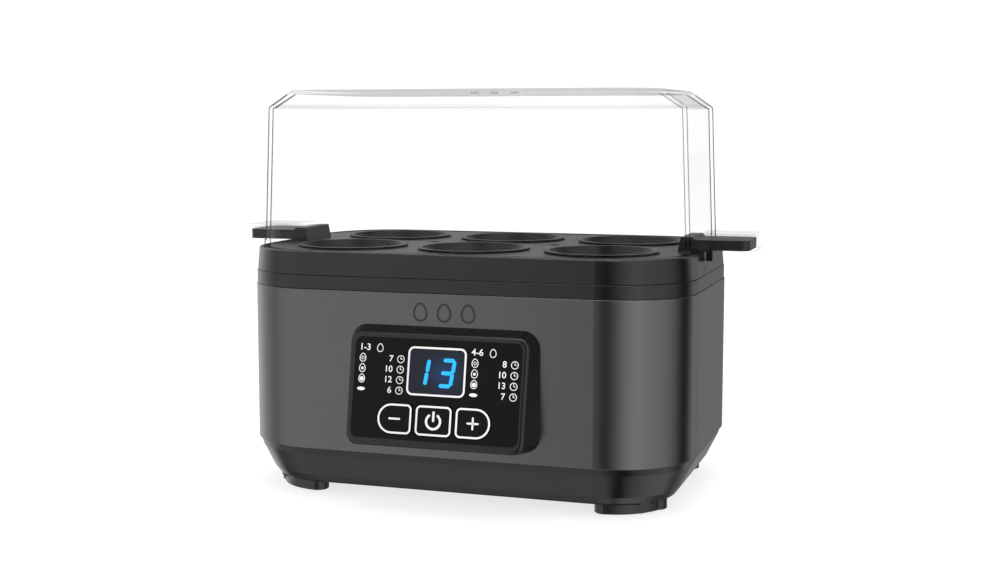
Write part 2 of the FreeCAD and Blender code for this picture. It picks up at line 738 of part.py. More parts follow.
# ---------------------------------------------------------------- wiring and cord inlet
def ribbon_cable():
    """A flat cable from the control board back to the power board."""
    x, width, thick = -30.0, 12.0, 0.8
    down_the_front = [(-50.5, 34.0), (-46.0, 34.0), (-42.0, 31.0), (-40.0, 16.5)]
    to_the_board = [(-20.0, 16.5), (-4.0, 16.5)]
    profile = down_the_front + to_the_board
    upper = [Vector(x, y, z) for y, z in profile]
    foot = [Vector(x, y, POWER_BOARD_Z[1]) for y in (-4.0, -4.0 - thick)]
    lower = [Vector(x, y - thick * 0.6, z - thick) for y, z in reversed(profile)]
    face = Part.Face(Part.makePolygon(upper + foot + lower + [upper[0]]))
    return face.extrude(Vector(width, 0, 0))


def heater_wires():
    wires = []
    for side, well in ((-1, 7.5), (1, 15.0)):
        z = 38.0 + side * 2
        path = [(side * 8, 24, 47.6), (side * 8, 24, z), (13, well, z), (13, well, 21.0)]
        wires.append(tube(path, 1.1, 2.5))
    return Part.makeCompound(wires)


def mains_wires():
    wires = []
    for side in (-1, 1):
        x = INLET_X + side * 1.4
        from_clamp = [(x, 50.0, INLET_Z), (x, 42.0, INLET_Z)]
        to_terminals = [(24 + side * 2, 27 + side, 27.0), (18.5 + side, 27 + side, 27.0)]
        wires.append(tube(from_clamp + to_terminals, 1.1, 2.5))
    return Part.makeCompound(wires)


def cord_gland():
    """A tapered bush with a collar each side of the wall, and a wider mouth at its inner end."""
    y0 = WALL_B
    outer = Part.makeCone(7.5, 5.6, GLAND_OUT, Vector(INLET_X, y0, INLET_Z), Vector(0, 1, 0))
    neck = along_y(GLAND_NECK_R, INLET_X, INLET_Z, y0 - SHELL_WALL, y0)
    inner = along_y(7.4, INLET_X, INLET_Z, y0 - SHELL_WALL - 2.4, y0 - SHELL_WALL)
    bush = outer.fuse([neck, inner])
    bush = bush.cut(along_y(CORD_BORE_R, INLET_X, INLET_Z, y0 - 6, y0 + GLAND_OUT + 1))
    bush = bush.cut(along_y(CORD_BORE_R + 0.6, INLET_X, INLET_Z, y0 - 6, y0 + GLAND_MOUTH))
    for i in range(3):
        y = y0 + 2.4 + i * 2.2
        disc = along_y(9, INLET_X, INLET_Z, y - 0.4, y + 0.4)
        core = along_y(5.3, INLET_X, INLET_Z, y - 1, y + 1)
        bush = bush.cut(disc.cut(core))
    return bush.removeSplitter()


def cord_clamp():
    """A saddle that grips the cord just inside the wall."""
    x, z = INLET_X, INLET_Z
    block = box((x - 9, x + 9), (46.0, 51.0), (z - 6, z + 5))
    return block.cut(along_y(CORD_BORE_R, x, z, 40, 56)).removeSplitter()


# ---------------------------------------------------------------- output
PIECES = {
    "lid_shell": lid_shell,
    "egg_tray": egg_tray,
    "top_collar": top_collar,
    "trim_band": trim_band,
    "outer_shell": outer_shell,
    "base_cover": base_cover,
    "corner_foot_front_left": lambda: corner_foot(-1, -1),
    "corner_foot_front_right": lambda: corner_foot(1, -1),
    "corner_foot_back_left": lambda: corner_foot(-1, 1),
    "corner_foot_back_right": lambda: corner_foot(1, 1),
    "foot_pads": foot_pads,
    "tie_posts": tie_posts,
    "base_screws": base_screws,
    "heating_pan": heating_pan,
    "pan_gasket": pan_gasket,
    "heat_spreader": heat_spreader,
    "heating_element": heating_element,
    "thermostat": thermostat,
    "thermal_fuse": thermal_fuse,
    "fuse_clip": fuse_clip,
    "ntc_sensor": ntc_sensor,
    "heat_shield": heat_shield,
    "shield_stays": shield_stays,
    "power_board": power_board,
    "board_screws": board_screws,
    "relay": relay,
    "film_capacitor": film_capacitor,
    "bulk_capacitor": bulk_capacitor,
    "terminal_block": terminal_block,
    "buzzer": buzzer,
    "panel_bezel": panel_bezel,
    "panel_face": panel_face,
    "display_window": display_window,
    "led_display": led_display,
    "control_board": control_board,
    "tact_switches": tact_switches,
    "panel_screws": panel_screws,
    "bezel_screws": bezel_screws,
    "ribbon_cable": ribbon_cable,
    "heater_wires": heater_wires,
    "mains_wires": mains_wires,
    "cord_gland": cord_gland,
    "cord_clamp": cord_clamp,
}
for key in KEYS:
    PIECES["key_" + key] = lambda key=key: keycap(key)
    PIECES["plunger_" + key] = lambda key=key: plunger(key)


def main():
    os.makedirs("parts", exist_ok=True)
    for node, make in PIECES.items():
        shape = make()
        shape.translate(Vector(0, ORIGIN_SHIFT_Y, 0))
        if not shape.isValid():
            print("not valid:", node)
        b = shape.BoundBox
        limits = [round(v, 1) for v in (b.XMin, b.XMax, b.YMin, b.YMax, b.ZMin, b.ZMax)]
        print(node, len(shape.Solids), round(shape.Volume), limits)
        shape.exportStep("parts/" + node + ".step")


main()
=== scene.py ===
"""Looks of the egg cooker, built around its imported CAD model. Metres, in the row frame."""

import bmesh
import bpy
import json
import math

from mathutils import Matrix, Vector


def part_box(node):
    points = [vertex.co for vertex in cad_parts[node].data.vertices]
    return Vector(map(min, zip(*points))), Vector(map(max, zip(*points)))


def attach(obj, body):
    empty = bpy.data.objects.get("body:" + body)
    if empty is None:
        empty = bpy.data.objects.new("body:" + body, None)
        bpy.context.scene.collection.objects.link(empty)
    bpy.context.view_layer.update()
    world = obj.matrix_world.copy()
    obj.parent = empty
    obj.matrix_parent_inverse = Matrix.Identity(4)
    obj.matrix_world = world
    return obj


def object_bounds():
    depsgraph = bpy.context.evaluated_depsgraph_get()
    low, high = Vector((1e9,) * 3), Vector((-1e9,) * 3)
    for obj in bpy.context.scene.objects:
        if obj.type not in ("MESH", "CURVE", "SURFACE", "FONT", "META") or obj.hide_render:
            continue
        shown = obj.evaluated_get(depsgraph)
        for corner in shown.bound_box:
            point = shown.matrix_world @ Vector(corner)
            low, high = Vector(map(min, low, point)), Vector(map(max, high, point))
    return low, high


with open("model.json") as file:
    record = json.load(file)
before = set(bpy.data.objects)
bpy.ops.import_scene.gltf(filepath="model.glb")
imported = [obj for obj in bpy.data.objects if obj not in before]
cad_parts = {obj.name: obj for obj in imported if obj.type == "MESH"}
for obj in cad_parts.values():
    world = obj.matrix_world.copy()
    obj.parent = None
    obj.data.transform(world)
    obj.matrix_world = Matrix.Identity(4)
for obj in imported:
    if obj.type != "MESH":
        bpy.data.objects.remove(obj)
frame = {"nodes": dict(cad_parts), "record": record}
CAD_LOW, CAD_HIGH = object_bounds()
NODES = frame["nodes"]
MM = 0.001
WHITE = (1.0, 1.0, 1.0, 1.0)

# ---------------------------------------------------------------- places
BODY_LOW, BODY_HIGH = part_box("outer_shell")
BODY_Y = (BODY_LOW.y + BODY_HIGH.y) / 2

# The lid's bevel starts at this height, and its corners begin this far in front of and behind the middle.
LID_BEVEL_Z = 144.1 * MM
LID_CORNER_Y = 26.35 * MM
# The painted dark refraction round the lid's upright corners reaches up to this height.
PAINTED_CORNER_TOP = CAD_HIGH.z - 1.6 * MM
# A painted dark upright line, standing in for the refraction of the rounded corner, stands at the front
# right corner, to the right of this place.
PAINTED_LINE_X = 75.0 * MM
PAINTED_LINE_HALF = 0.85 * MM
PAINTED_LINE_DARK = 0.68
# A painted grey ring, standing in for the refraction of the rounded edge, runs round the lid at its bevel,
# and another near its top.
PAINTED_BEVEL_RING_HALF = 0.8 * MM
PAINTED_BEVEL_RING_DARK = 0.06
PAINTED_TOP_RING_Z = CAD_HIGH.z - 0.8 * MM
PAINTED_TOP_RING_HALF = 0.5 * MM
PAINTED_TOP_RING_DARK = 0.14

# The panel's own frame starts just above the middle of its plate's top edge. In it, x runs to the right,
# y up the face and z outwards.
PANEL_TILT = math.radians(11.1)
FACE_TOP = Vector((0.0, BODY_Y - 63.1 * MM, 63.0 * MM))
PANEL = Matrix.Translation(FACE_TOP) @ Matrix.Rotation(math.pi / 2 - PANEL_TILT, 4, "X")

# The blue haze of the lit figures in the window, on the panel's face.
HAZE_CENTRE = PANEL @ Vector((3.0 * MM, -12.0 * MM, 0.0))
HAZE_HALF = (11.0 * MM, 9.0 * MM)
HAZE_COLOUR = (0.002, 0.030, 0.13, 1.0)

# The camera stands off the front, a little to the right and above.
CAMERA_AZIMUTH = math.radians(17.886)
CAMERA_ELEVATION = math.radians(6.302)
CAMERA_DISTANCE = 0.57028
CAMERA_TARGET = Vector((2.33 * MM, BODY_Y, 76.53 * MM))
CAMERA_LENS = 52.59


# ---------------------------------------------------------------- node helpers
class Nodes:
    """Adds and links the shader nodes of a material or a world."""

    def __init__(self, owner):
        owner.use_nodes = True
        self.tree = owner.node_tree
        self.bsdf = self.tree.nodes.get("Principled BSDF")
        self.coords = None

    def add(self, kind, **inputs):
        """A new node. An input's name has an underscore for each space."""
        node = self.tree.nodes.new(kind)
        for name, value in inputs.items():
            self.set(node, name.replace("_", " "), value)
        return node

    def set(self, node, name, value):
        """Links an input to a socket, or gives it a plain value."""
        socket = node.inputs[name]
        if isinstance(value, bpy.types.NodeSocket):
            self.tree.links.new(value, socket)
        else:
            socket.default_value = value

    def object_coords(self):
        if self.coords is None:
            self.coords = self.tree.nodes.new("ShaderNodeTexCoord").outputs["Object"]
        return self.coords

    def noise(self, scale, detail=2.0, roughness=0.5, stretch=None):
        vector = self.object_coords()
        if stretch is not None:
            mapping = self.add("ShaderNodeMapping", Vector=vector)
            mapping.inputs["Scale"].default_value = stretch
            vector = mapping.outputs["Vector"]
        node = self.add("ShaderNodeTexNoise", Vector=vector, Scale=scale, Detail=detail, Roughness=roughness)
        return node.outputs["Fac"]

    def ramp(self, factor, low, high, stops=(0.3, 0.7)):
        """The colour low up to the first stop, high from the second, and a blend between them."""
        node = self.add("ShaderNodeValToRGB", Fac=factor)
        node.color_ramp.elements[0].position = stops[0]
        node.color_ramp.elements[1].position = stops[1]
        node.color_ramp.elements[0].color = low
        node.color_ramp.elements[1].color = high
        return node.outputs["Color"]

    def spread(self, factor, low, high):
        """The factor, from 0 to 1, carried to the range from low to high."""
        node = self.add("ShaderNodeMapRange", Value=factor, To_Min=low, To_Max=high)
        return node.outputs["Result"]

    def vary(self, factor, middle, share):
        """A value that strays from its middle by up to this share either way."""
        return self.spread(factor, middle * (1 - share), middle * (1 + share))

    def shades(self, factor, colour, share):
        """A colour that gets darker and lighter by up to this share."""
        return self.ramp(factor, shade(colour, 1 - share), shade(colour, 1 + share))

    def math(self, operation, *values):
        node = self.tree.nodes.new("ShaderNodeMath")
        node.operation = operation
        for i, value in enumerate(values):
            self.set(node, i, value)
        return node.outputs["Value"]

    def within(self, value, centre, half):
        """1 where the value is less than half away from the centre, and 0 elsewhere."""
        away = self.math("ABSOLUTE", self.math("SUBTRACT", value, centre))
        return self.math("LESS_THAN", away, half)

    def mix(self, factor, low, high):
        """A blend of two colours."""
        node = self.tree.nodes.new("ShaderNodeMix")
        node.data_type = "RGBA"
        self.set(node, "Factor", factor)
        self.set(node, "A", low)
        self.set(node, "B", high)
        return node.outputs["Result"]

    def bump(self, height, strength, distance):
        node = self.add("ShaderNodeBump", Height=height, Strength=strength, Distance=distance)
        self.set(self.bsdf, "Normal", node.outputs["Normal"])

    def show_mix(self, factor, first, second, output):
        """Sends a mix of two shaders to the output node."""
        mix = self.add("ShaderNodeMixShader", Fac=factor)
        self.set(mix, 1, first.outputs[0])
        self.set(mix, 2, second.outputs[0])
        self.set(self.tree.nodes[output], "Surface", mix.outputs["Shader"])


def grey(value, tint=(1.0, 1.0, 1.0)):
    return (value * tint[0], value * tint[1], value * tint[2], 1.0)


def shade(colour, share):
    """The colour at a share of its brightness."""
    return tuple(c * share for c in colour[:3]) + (1.0,)


def moulded(name, base, rough, grain=0.25, scale=1500.0, shine=0.5, tint=(1, 1, 1), vary=0.12):
    """Moulded plastic: a fine spark-eroded grain, with slight drift in shade and gloss."""
    material = bpy.data.materials.new(name)
    nodes = Nodes(material)
    drift = nodes.noise(22.0, detail=3.0)
    nodes.set(nodes.bsdf, "Base Color", nodes.shades(drift, grey(base, tint), vary))
    nodes.set(nodes.bsdf, "Roughness", nodes.vary(nodes.noise(60.0, detail=4.0), rough, 0.1))
    nodes.set(nodes.bsdf, "Specular IOR Level", shine)
    nodes.bump(nodes.noise(scale, detail=3.0, roughness=0.6), grain, 0.06 * MM)
    return material


def glossy(name, colour, rough=0.06, vary=0.05, shine=0.5, coat=0.3):
    """Polished plastic with faint wipe marks."""
    material = bpy.data.materials.new(name)
    nodes = Nodes(material)
    nodes.set(nodes.bsdf, "Base Color", nodes.shades(nodes.noise(35.0), colour, vary))
    smears = nodes.noise(90.0, detail=5.0, roughness=0.7, stretch=(1.0, 0.25, 1.0))
    nodes.set(nodes.bsdf, "Roughness", nodes.spread(smears, rough * 0.8, rough * 1.5))
    nodes.set(nodes.bsdf, "Specular IOR Level", shine)
    nodes.set(nodes.bsdf, "Coat Weight", coat)
    nodes.set(nodes.bsdf, "Coat Roughness", 0.04)
    return material


def clear_plastic(name, clear=0.992):
    """Thin clear plastic: faint mirroring that grows edge on, grey edges, and painted dark refraction lines
    and rings at a corner, the bevel and the top.
    """
    material = bpy.data.materials.new(name)
    nodes = Nodes(material)
    nodes.set(nodes.bsdf, "Base Color", grey(0.95))
    nodes.set(nodes.bsdf, "Metallic", 1.0)
    nodes.set(nodes.bsdf, "Roughness", nodes.spread(nodes.noise(40.0, detail=3.0), 0.02, 0.05))
    slope = nodes.add("ShaderNodeLayerWeight", Blend=0.5).outputs["Facing"]
    spot = nodes.add("ShaderNodeSeparateXYZ", Vector=nodes.object_coords()).outputs
    # Painted dark refraction lines and rings darken what the lid lets through.
    painted_darkness = nodes.math("MAXIMUM", painted_corner_line(nodes, spot), painted_lid_rings(nodes, spot))
    tint = nodes.add("ShaderNodeVectorMath", Vector=lid_edges_and_painted_corners(nodes, spot, slope, clear))
    tint.operation = "SCALE"
    nodes.set(tint, "Scale", nodes.math("SUBTRACT", 1.0, painted_darkness))
    through = nodes.add("ShaderNodeBsdfTransparent", Color=tint.outputs["Vector"])
    mirrored = nodes.spread(nodes.math("POWER", slope, 5.0), low=0.006, high=0.16)
    nodes.show_mix(mirrored, through, nodes.bsdf, "Material Output")
    return material


def lid_edges_and_painted_corners(nodes, spot, slope, clear):
    """Clear in front, grey edge on, with painted dark refraction round the lid's upright corners, far darker
    than elsewhere.
    """
    from_middle = nodes.math("ABSOLUTE", nodes.math("SUBTRACT", spot["Y"], BODY_Y))
    below_top = nodes.math("LESS_THAN", spot["Z"], PAINTED_CORNER_TOP)
    at_corner = nodes.math("MULTIPLY", nodes.math("GREATER_THAN", from_middle, LID_CORNER_Y), below_top)
    flat_edge = nodes.ramp(slope, grey(clear), grey(0.62), stops=(0.86, 1.0))
    # Round the upright corners the edge grey is painted much darker, standing in for their refraction.
    painted_corner_refraction = nodes.ramp(slope, grey(clear), grey(0.06), stops=(0.795, 0.91))
    return nodes.mix(at_corner, flat_edge, painted_corner_refraction)


def painted_corner_line(nodes, spot):
    """How dark the painted refraction line at the front right corner makes the lid."""
    near = nodes.within(spot["Y"], BODY_Y - LID_CORNER_Y, PAINTED_LINE_HALF)
    right = nodes.math("GREATER_THAN", spot["X"], PAINTED_LINE_X)
    upright = nodes.math("LESS_THAN", spot["Z"], LID_BEVEL_Z)
    place = nodes.math("MULTIPLY", nodes.math("MULTIPLY", near, right), upright)
    return nodes.math("MULTIPLY", place, PAINTED_LINE_DARK)


def painted_lid_rings(nodes, spot):
    """How dark the painted refraction rings at the bevel and near the top make the lid."""
    at_bevel = nodes.within(spot["Z"], LID_BEVEL_Z, PAINTED_BEVEL_RING_HALF)
    at_top = nodes.within(spot["Z"], PAINTED_TOP_RING_Z, PAINTED_TOP_RING_HALF)
    painted_bevel_ring = nodes.math("MULTIPLY", at_bevel, PAINTED_BEVEL_RING_DARK)
    painted_top_ring = nodes.math("MULTIPLY", at_top, PAINTED_TOP_RING_DARK)
    return nodes.math("MAXIMUM", painted_bevel_ring, painted_top_ring)


def metal(name, colour, rough, stretch=None):
    """Bare metal, brushed along one axis where stretch is given."""
    material = bpy.data.materials.new(name)
    nodes = Nodes(material)
    streaks = nodes.noise(400.0, detail=4.0, roughness=0.6, stretch=stretch)
    nodes.set(nodes.bsdf, "Base Color", nodes.ramp(streaks, shade(colour, 0.94), shade(colour, 1.0)))
    nodes.set(nodes.bsdf, "Metallic", 1.0)
    nodes.set(nodes.bsdf, "Roughness", nodes.vary(streaks, rough, 0.12))
    nodes.bump(streaks, 0.05, 0.02 * MM)
    return material


def glowing(name, colour, strength):
    """Lit bars, almost black where they don't glow."""
    material = bpy.data.materials.new(name)
    nodes = Nodes(material)
    nodes.set(nodes.bsdf, "Base Color", (0.01, 0.02, 0.03, 1.0))
    nodes.set(nodes.bsdf, "Emission Color", colour)
    nodes.set(nodes.bsdf, "Emission Strength", strength)
    nodes.set(nodes.bsdf, "Roughness", nodes.spread(nodes.noise(300.0), 0.35, 0.5))
    return material


def coated_metal(name, base, rough):
    """Grey metallic coat over sheet metal: fine flake in the shade, and a gloss that drifts a little."""
    material = bpy.data.materials.new(name)
    nodes = Nodes(material)
    flake = nodes.noise(2600.0, roughness=0.7)
    nodes.set(nodes.bsdf, "Base Color", nodes.shades(flake, grey(base), 0.07))
    nodes.set(nodes.bsdf, "Metallic", 1.0)
    nodes.set(nodes.bsdf, "Roughness", nodes.vary(nodes.noise(45.0, detail=4.0), rough, 0.06))
    nodes.bump(flake, 0.08, 0.03 * MM)
    return material


def tinted_window(name):
    """Dark tinted plastic, lit from behind by the digits with a soft blue haze."""
    material = glossy(name, (0.014, 0.018, 0.024), rough=0.05, shine=0.12, coat=0.0)
    nodes = Nodes(material)
    place = nodes.add("ShaderNodeMapping", Vector=nodes.object_coords())
    place.vector_type = "TEXTURE"
    place.inputs["Location"].default_value = HAZE_CENTRE
    place.inputs["Rotation"].default_value = (math.pi / 2 - PANEL_TILT, 0.0, 0.0)
    place.inputs["Scale"].default_value = (HAZE_HALF[0], HAZE_HALF[1], 1.0)
    ball = nodes.add("ShaderNodeTexGradient", Vector=place.outputs["Vector"])
    ball.gradient_type = "QUADRATIC_SPHERE"
    haze = nodes.ramp(ball.outputs["Fac"], grey(0.0), HAZE_COLOUR, stops=(0.0, 1.0))
    nodes.set(nodes.bsdf, "Emission Color", haze)
    nodes.set(nodes.bsdf, "Emission Strength", 1.0)
    return material


IVORY = (1.0, 0.98, 0.93)
LEAF_GREEN = (0.3, 1.0, 0.45)
BOARD_GREEN = (0.25, 1.0, 0.45)

MATERIALS = {
    "clear_lid": clear_plastic("clear_lid"),
    "tray_black": moulded("tray_black", 0.0035, rough=0.32, grain=0.2, shine=0.3),
    "collar_dark": moulded("collar_dark", 0.004, rough=0.20, grain=0.05, shine=0.45),
    "shell_grey": coated_metal("shell_grey", 0.115, rough=0.24),
    "base_black": moulded("base_black", 0.004, rough=0.17, grain=0.05),
    "foot_black": moulded("foot_black", 0.005, rough=0.26, grain=0.1),
    "pad_rubber": moulded("pad_rubber", 0.012, rough=0.7, grain=0.5, scale=900.0),
    "bezel_black": moulded("bezel_black", 0.003, rough=0.20, grain=0.05, shine=0.42),
    "face_gloss": glossy("face_gloss", (0.003, 0.003, 0.0035), shine=0.11, coat=0.0),
    "window_tint": tinted_window("window_tint"),
    "led_module": moulded("led_module", 0.02, rough=0.4),
    "pan_steel": metal("pan_steel", (0.62, 0.62, 0.63), rough=0.28, stretch=(1.0, 14.0, 1.0)),
    "aluminium": metal("aluminium", (0.72, 0.73, 0.74), rough=0.42),
    "heater_steel": metal("heater_steel", (0.34, 0.32, 0.30), rough=0.45),
    "screw_steel": metal("screw_steel", (0.52, 0.52, 0.54), rough=0.32),
    "silicone": moulded("silicone", 0.55, rough=0.55, grain=0.2, scale=700.0),
    "board_green": moulded("board_green", 0.10, rough=0.45, grain=0.1, scale=500.0, tint=BOARD_GREEN),
    "component_black": moulded("component_black", 0.015, rough=0.45),
    "component_blue": glossy("component_blue", (0.02, 0.06, 0.22), rough=0.2),
    "terminal_green": moulded("terminal_green", 0.16, rough=0.4, tint=LEAF_GREEN),
    "wire_white": moulded("wire_white", 0.62, rough=0.4, grain=0.1),
    "ceramic_white": moulded("ceramic_white", 0.7, rough=0.55, grain=0.3, scale=800.0, tint=IVORY),
}
PRINT_WHITE = moulded("print_white", 0.80, rough=0.45, grain=0.1, scale=900.0)
PRINT_DARK = moulded("print_dark", 0.012, rough=0.35, grain=0.1, scale=900.0)
DIGIT_BLUE = glowing("digit_blue", (0.001, 0.50, 1.0, 1.0), strength=1.05)


# ---------------------------------------------------------------- mesh helpers
def smooth(obj, angle=35.0):
    """Smooth shading, with edges sharper than this many degrees left sharp."""
    for face in obj.data.polygons:
        face.use_smooth = True
    obj.data.set_sharp_from_angle(angle=math.radians(angle))


def dress_cad_nodes():
    """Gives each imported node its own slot's material."""
    for part in frame["record"]["subparts"]:
        node = NODES[part["node"]]
        node.data.materials.clear()
        node.data.materials.append(MATERIALS[part["material_slot"]])
        smooth(node)


dress_cad_nodes()


# ---------------------------------------------------------------- printed graphics
PRINT_LIFT = 0.02 * MM
PRINT_THICK = 0.02 * MM

# From here on, the sizes and places of prints are in millimetres. These are the widths of their lines.
LINE = 0.68
FINE = 0.28
SMALLEST_RADIUS = 0.05
FIGURE_OFFSET = 0.04
# An egg's half width as a share of its height, and how much it narrows towards its top.
EGG_HALF = 0.38
EGG_TAPER = 0.16
EGG_STEPS = 32


def arc(x, y, radius, start, sweep, steps):
    """Points along an arc, with both its ends."""
    angles = [start + sweep * i / steps for i in range(steps + 1)]
    return [(x + radius * math.cos(a), y + radius * math.sin(a)) for a in angles]


def ring(x, y, radius, steps, flat=1.0):
    """Points once round, flattened where flat is under 1."""
    angles = [math.tau * i / steps for i in range(steps)]
    return [(x + radius * math.cos(a), y + radius * flat * math.sin(a)) for a in angles]


def rounded_outline(x, y, radii, inset=0.0, steps=10):
    """Points round a rectangle, from its lower left corner, with one radius for each corner."""
    x0, x1, y0, y1 = x[0] + inset, x[1] - inset, y[0] + inset, y[1] - inset
    corners = [(x0, y0, 1, 1, 180), (x1, y0, -1, 1, 270), (x1, y1, -1, -1, 0), (x0, y1, 1, -1, 90)]
    points = []
    for (px, py, sx, sy, start), radius in zip(corners, radii):
        r = max(radius - inset, SMALLEST_RADIUS)
        points += arc(px + sx * r, py + sy * r, r, math.radians(start), math.pi / 2, steps)
    return points


class Print:
    """Flat graphics in millimetres on a plane, gathered into one thin mesh."""

    def __init__(self):
        self.bm = bmesh.new()

    def face(self, points):
        """A flat plate with this outline."""
        low = [self.bm.verts.new((x * MM, y * MM, 0)) for x, y in points]
        high = [self.bm.verts.new((x * MM, y * MM, PRINT_THICK)) for x, y in points]
        self.bm.faces.new(high)
        for i in range(len(points)):
            j = (i + 1) % len(points)
            self.bm.faces.new((low[i], low[j], high[j], high[i]))

    def band(self, left, right, closed):
        """A strip between two rows of points."""
        rows = [[self.bm.verts.new((x * MM, y * MM, z)) for x, y in side]
                for side in (left, right) for z in (0, PRINT_THICK)]
        left_low, left_high, right_low, right_high = rows
        count = len(left)
        for i in range(count if closed else count - 1):
            j = (i + 1) % count
            self.bm.faces.new((left_high[i], right_high[i], right_high[j], left_high[j]))
            self.bm.faces.new((left_low[i], left_high[i], left_high[j], left_low[j]))
            self.bm.faces.new((right_high[i], right_low[i], right_low[j], right_high[j]))

    def frame(self, x, y, radii, width, inset=0.0):
        """An even line round a rounded rectangle, inside its outline by the inset."""
        outer = rounded_outline(x, y, radii, inset)
        inner = rounded_outline(x, y, radii, inset + width)
        self.band(inner, outer, True)

    def stroke(self, points, width, closed=False):
        """A line of even width along the points, with round ends if it is open."""
        count = len(points)
        left, right = [], []
        for i, (x, y) in enumerate(points):
            before = points[i - 1] if i or closed else points[0]
            after = points[(i + 1) % count] if i + 1 < count or closed else points[-1]
            along = Vector((after[0] - before[0], after[1] - before[1])).normalized()
            nx, ny = -along.y * width / 2, along.x * width / 2
            left.append((x + nx, y + ny))
            right.append((x - nx, y - ny))
        self.band(left, right, closed)
        if not closed:
            for end, other in ((points[0], points[1]), (points[-1], points[-2])):
                self.cap(end, other, width / 2)

    def cap(self, end, other, radius):
        """A half disc at the end of a line."""
        start = math.atan2(end[1] - other[1], end[0] - other[0]) - math.pi / 2
        self.face(arc(end[0], end[1], radius, start, math.pi, steps=8))

    def circle(self, x, y, radius, width):
        self.stroke(ring(x, y, radius, steps=28), width, True)

    def dot(self, x, y, radius, flat=1.0):
        self.face(ring(x, y, radius, 20, flat=flat))

    def egg(self, x, y, height, width):
        """An upright egg's outline, narrower at its top."""
        points = []
        for i in range(EGG_STEPS):
            a = math.tau * i / EGG_STEPS
            half = EGG_HALF * height * (1 - EGG_TAPER * math.sin(a))
            points.append((x + half * math.cos(a), y + height / 2 * math.sin(a)))
        self.stroke(points, width, True)

    def clock(self, x, y, radius):
        """A small dial with its two hands."""
        self.circle(x, y, radius, FINE)
        self.stroke([(x, y + radius * 0.6), (x, y), (x + radius * 0.45, y)], FINE)

    def number(self, text, x, y, size, align="LEFT"):
        """Plain figures, with y at their middle."""
        curve = bpy.data.curves.new("figures", "FONT")
        curve.body = text
        curve.size = size * MM
        curve.align_x = align
        curve.align_y = "CENTER"
        curve.offset = FIGURE_OFFSET * MM
        curve.extrude = PRINT_THICK / 2
        holder = bpy.data.objects.new("figures", curve)
        bpy.context.scene.collection.objects.link(holder)
        bpy.context.view_layer.update()
        evaluated = holder.evaluated_get(bpy.context.evaluated_depsgraph_get())
        mesh = bpy.data.meshes.new_from_object(evaluated)
        mesh.transform(Matrix.Translation((x * MM, y * MM, PRINT_THICK / 2)))
        self.bm.from_mesh(mesh)
        bpy.data.objects.remove(holder)
        bpy.data.meshes.remove(mesh)

    def finish(self, name, place, lift, material, body):
        """Lays the graphics on a plane, lifted by a number of millimetres."""
        bmesh.ops.recalc_face_normals(self.bm, faces=self.bm.faces)
        mesh = bpy.data.meshes.new(name)
        self.bm.to_mesh(mesh)
        self.bm.free()
        mesh.transform(place @ Matrix.Translation((0, 0, lift * MM + PRINT_LIFT)))
        mesh.materials.append(material)
        piece = bpy.data.objects.new(name, mesh)
        bpy.context.scene.collection.objects.link(piece)
        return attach(piece, body)


# Each key's left and right edge, and the corner radii of its print, from the lower left one round.
KEY_Y = (-34.5, -23.5)
KEYS = {
    "minus": ((-21.2, -8.0), (5.4, 2.1, 2.1, 5.4)),
    "power": ((-6.9, 6.9), (2.1, 2.1, 2.1, 2.1)),
    "plus": ((8.0, 21.2), (2.1, 5.4, 5.4, 2.1)),
}
# How far the keys stand out of the face.
KEY_TOP = 0.25
KEY_LINE_INSET = 0.25
SIGN_HALF = 1.9
POWER_RADIUS = 2.6
POWER_LINE = 0.85
POWER_GAP = math.radians(38)
POWER_DROP = 0.2
POWER_STROKE = (3.0, 0.1)


def power_sign(art, x, y):
    """A ring that is open at its top, with a stroke in the gap."""
    start = math.pi / 2 + POWER_GAP
    sweep = math.tau - 2 * POWER_GAP
    art.stroke(arc(x, y - POWER_DROP, POWER_RADIUS, start, sweep, steps=30), POWER_LINE)
    art.stroke([(x, y + height) for height in POWER_STROKE], POWER_LINE)


def key_print(name):
    """A key's white outline and its sign."""
    edges, radii = KEYS[name]
    x, y = sum(edges) / 2, sum(KEY_Y) / 2
    art = Print()
    art.frame(edges, KEY_Y, radii, LINE, KEY_LINE_INSET)
    if name == "power":
        power_sign(art, x, y)
    else:
        art.stroke([(x - SIGN_HALF, y), (x + SIGN_HALF, y)], LINE)
    if name == "plus":
        art.stroke([(x, y - SIGN_HALF), (x, y + SIGN_HALF)], LINE)
    art.finish("print_" + name, PANEL, KEY_TOP, PRINT_WHITE, "key_" + name)


# The columns of a cooking table, from its left edge, and the heights of its rows.
HEADING_Y = -4.3
HEADING_SIZE = 3.3
HEADING_EGG_X = 7.9
HEADING_EGG_TALL = 2.8
FIRST_ROW_Y = -8.0
ROW_STEP = 3.7
PICTOGRAM_X = 1.5
PICTOGRAM_EGG_TALL = 2.9
MINUTES_RIGHT = 13.1
MINUTES_SIZE = 3.15
CLOCK_X = 16.0
CLOCK_RADIUS = 1.25

# Each table's left edge, how many eggs it is for, and the minutes for each kind of egg.
COOKING_TABLES = (
    (-29.6, "1-3", (("soft", "7"), ("medium", "10"), ("hard", "12"), ("flat", "6"))),
    (12.6, "4-6", (("soft", "8"), ("medium", "10"), ("hard", "13"), ("flat", "7"))),
)


def pictogram(art, kind, x, y):
    """An egg with a ring, a small yolk or a full yolk in it, or a flat fried egg."""
    if kind == "flat":
        art.dot(x, y, radius=1.5, flat=0.42)
        return
    art.egg(x, y, PICTOGRAM_EGG_TALL, FINE)
    if kind == "soft":
        art.circle(x, y - 0.1, radius=0.5, width=0.22)
    else:
        art.dot(x, y - 0.15, radius=0.5 if kind == "medium" else 0.8)


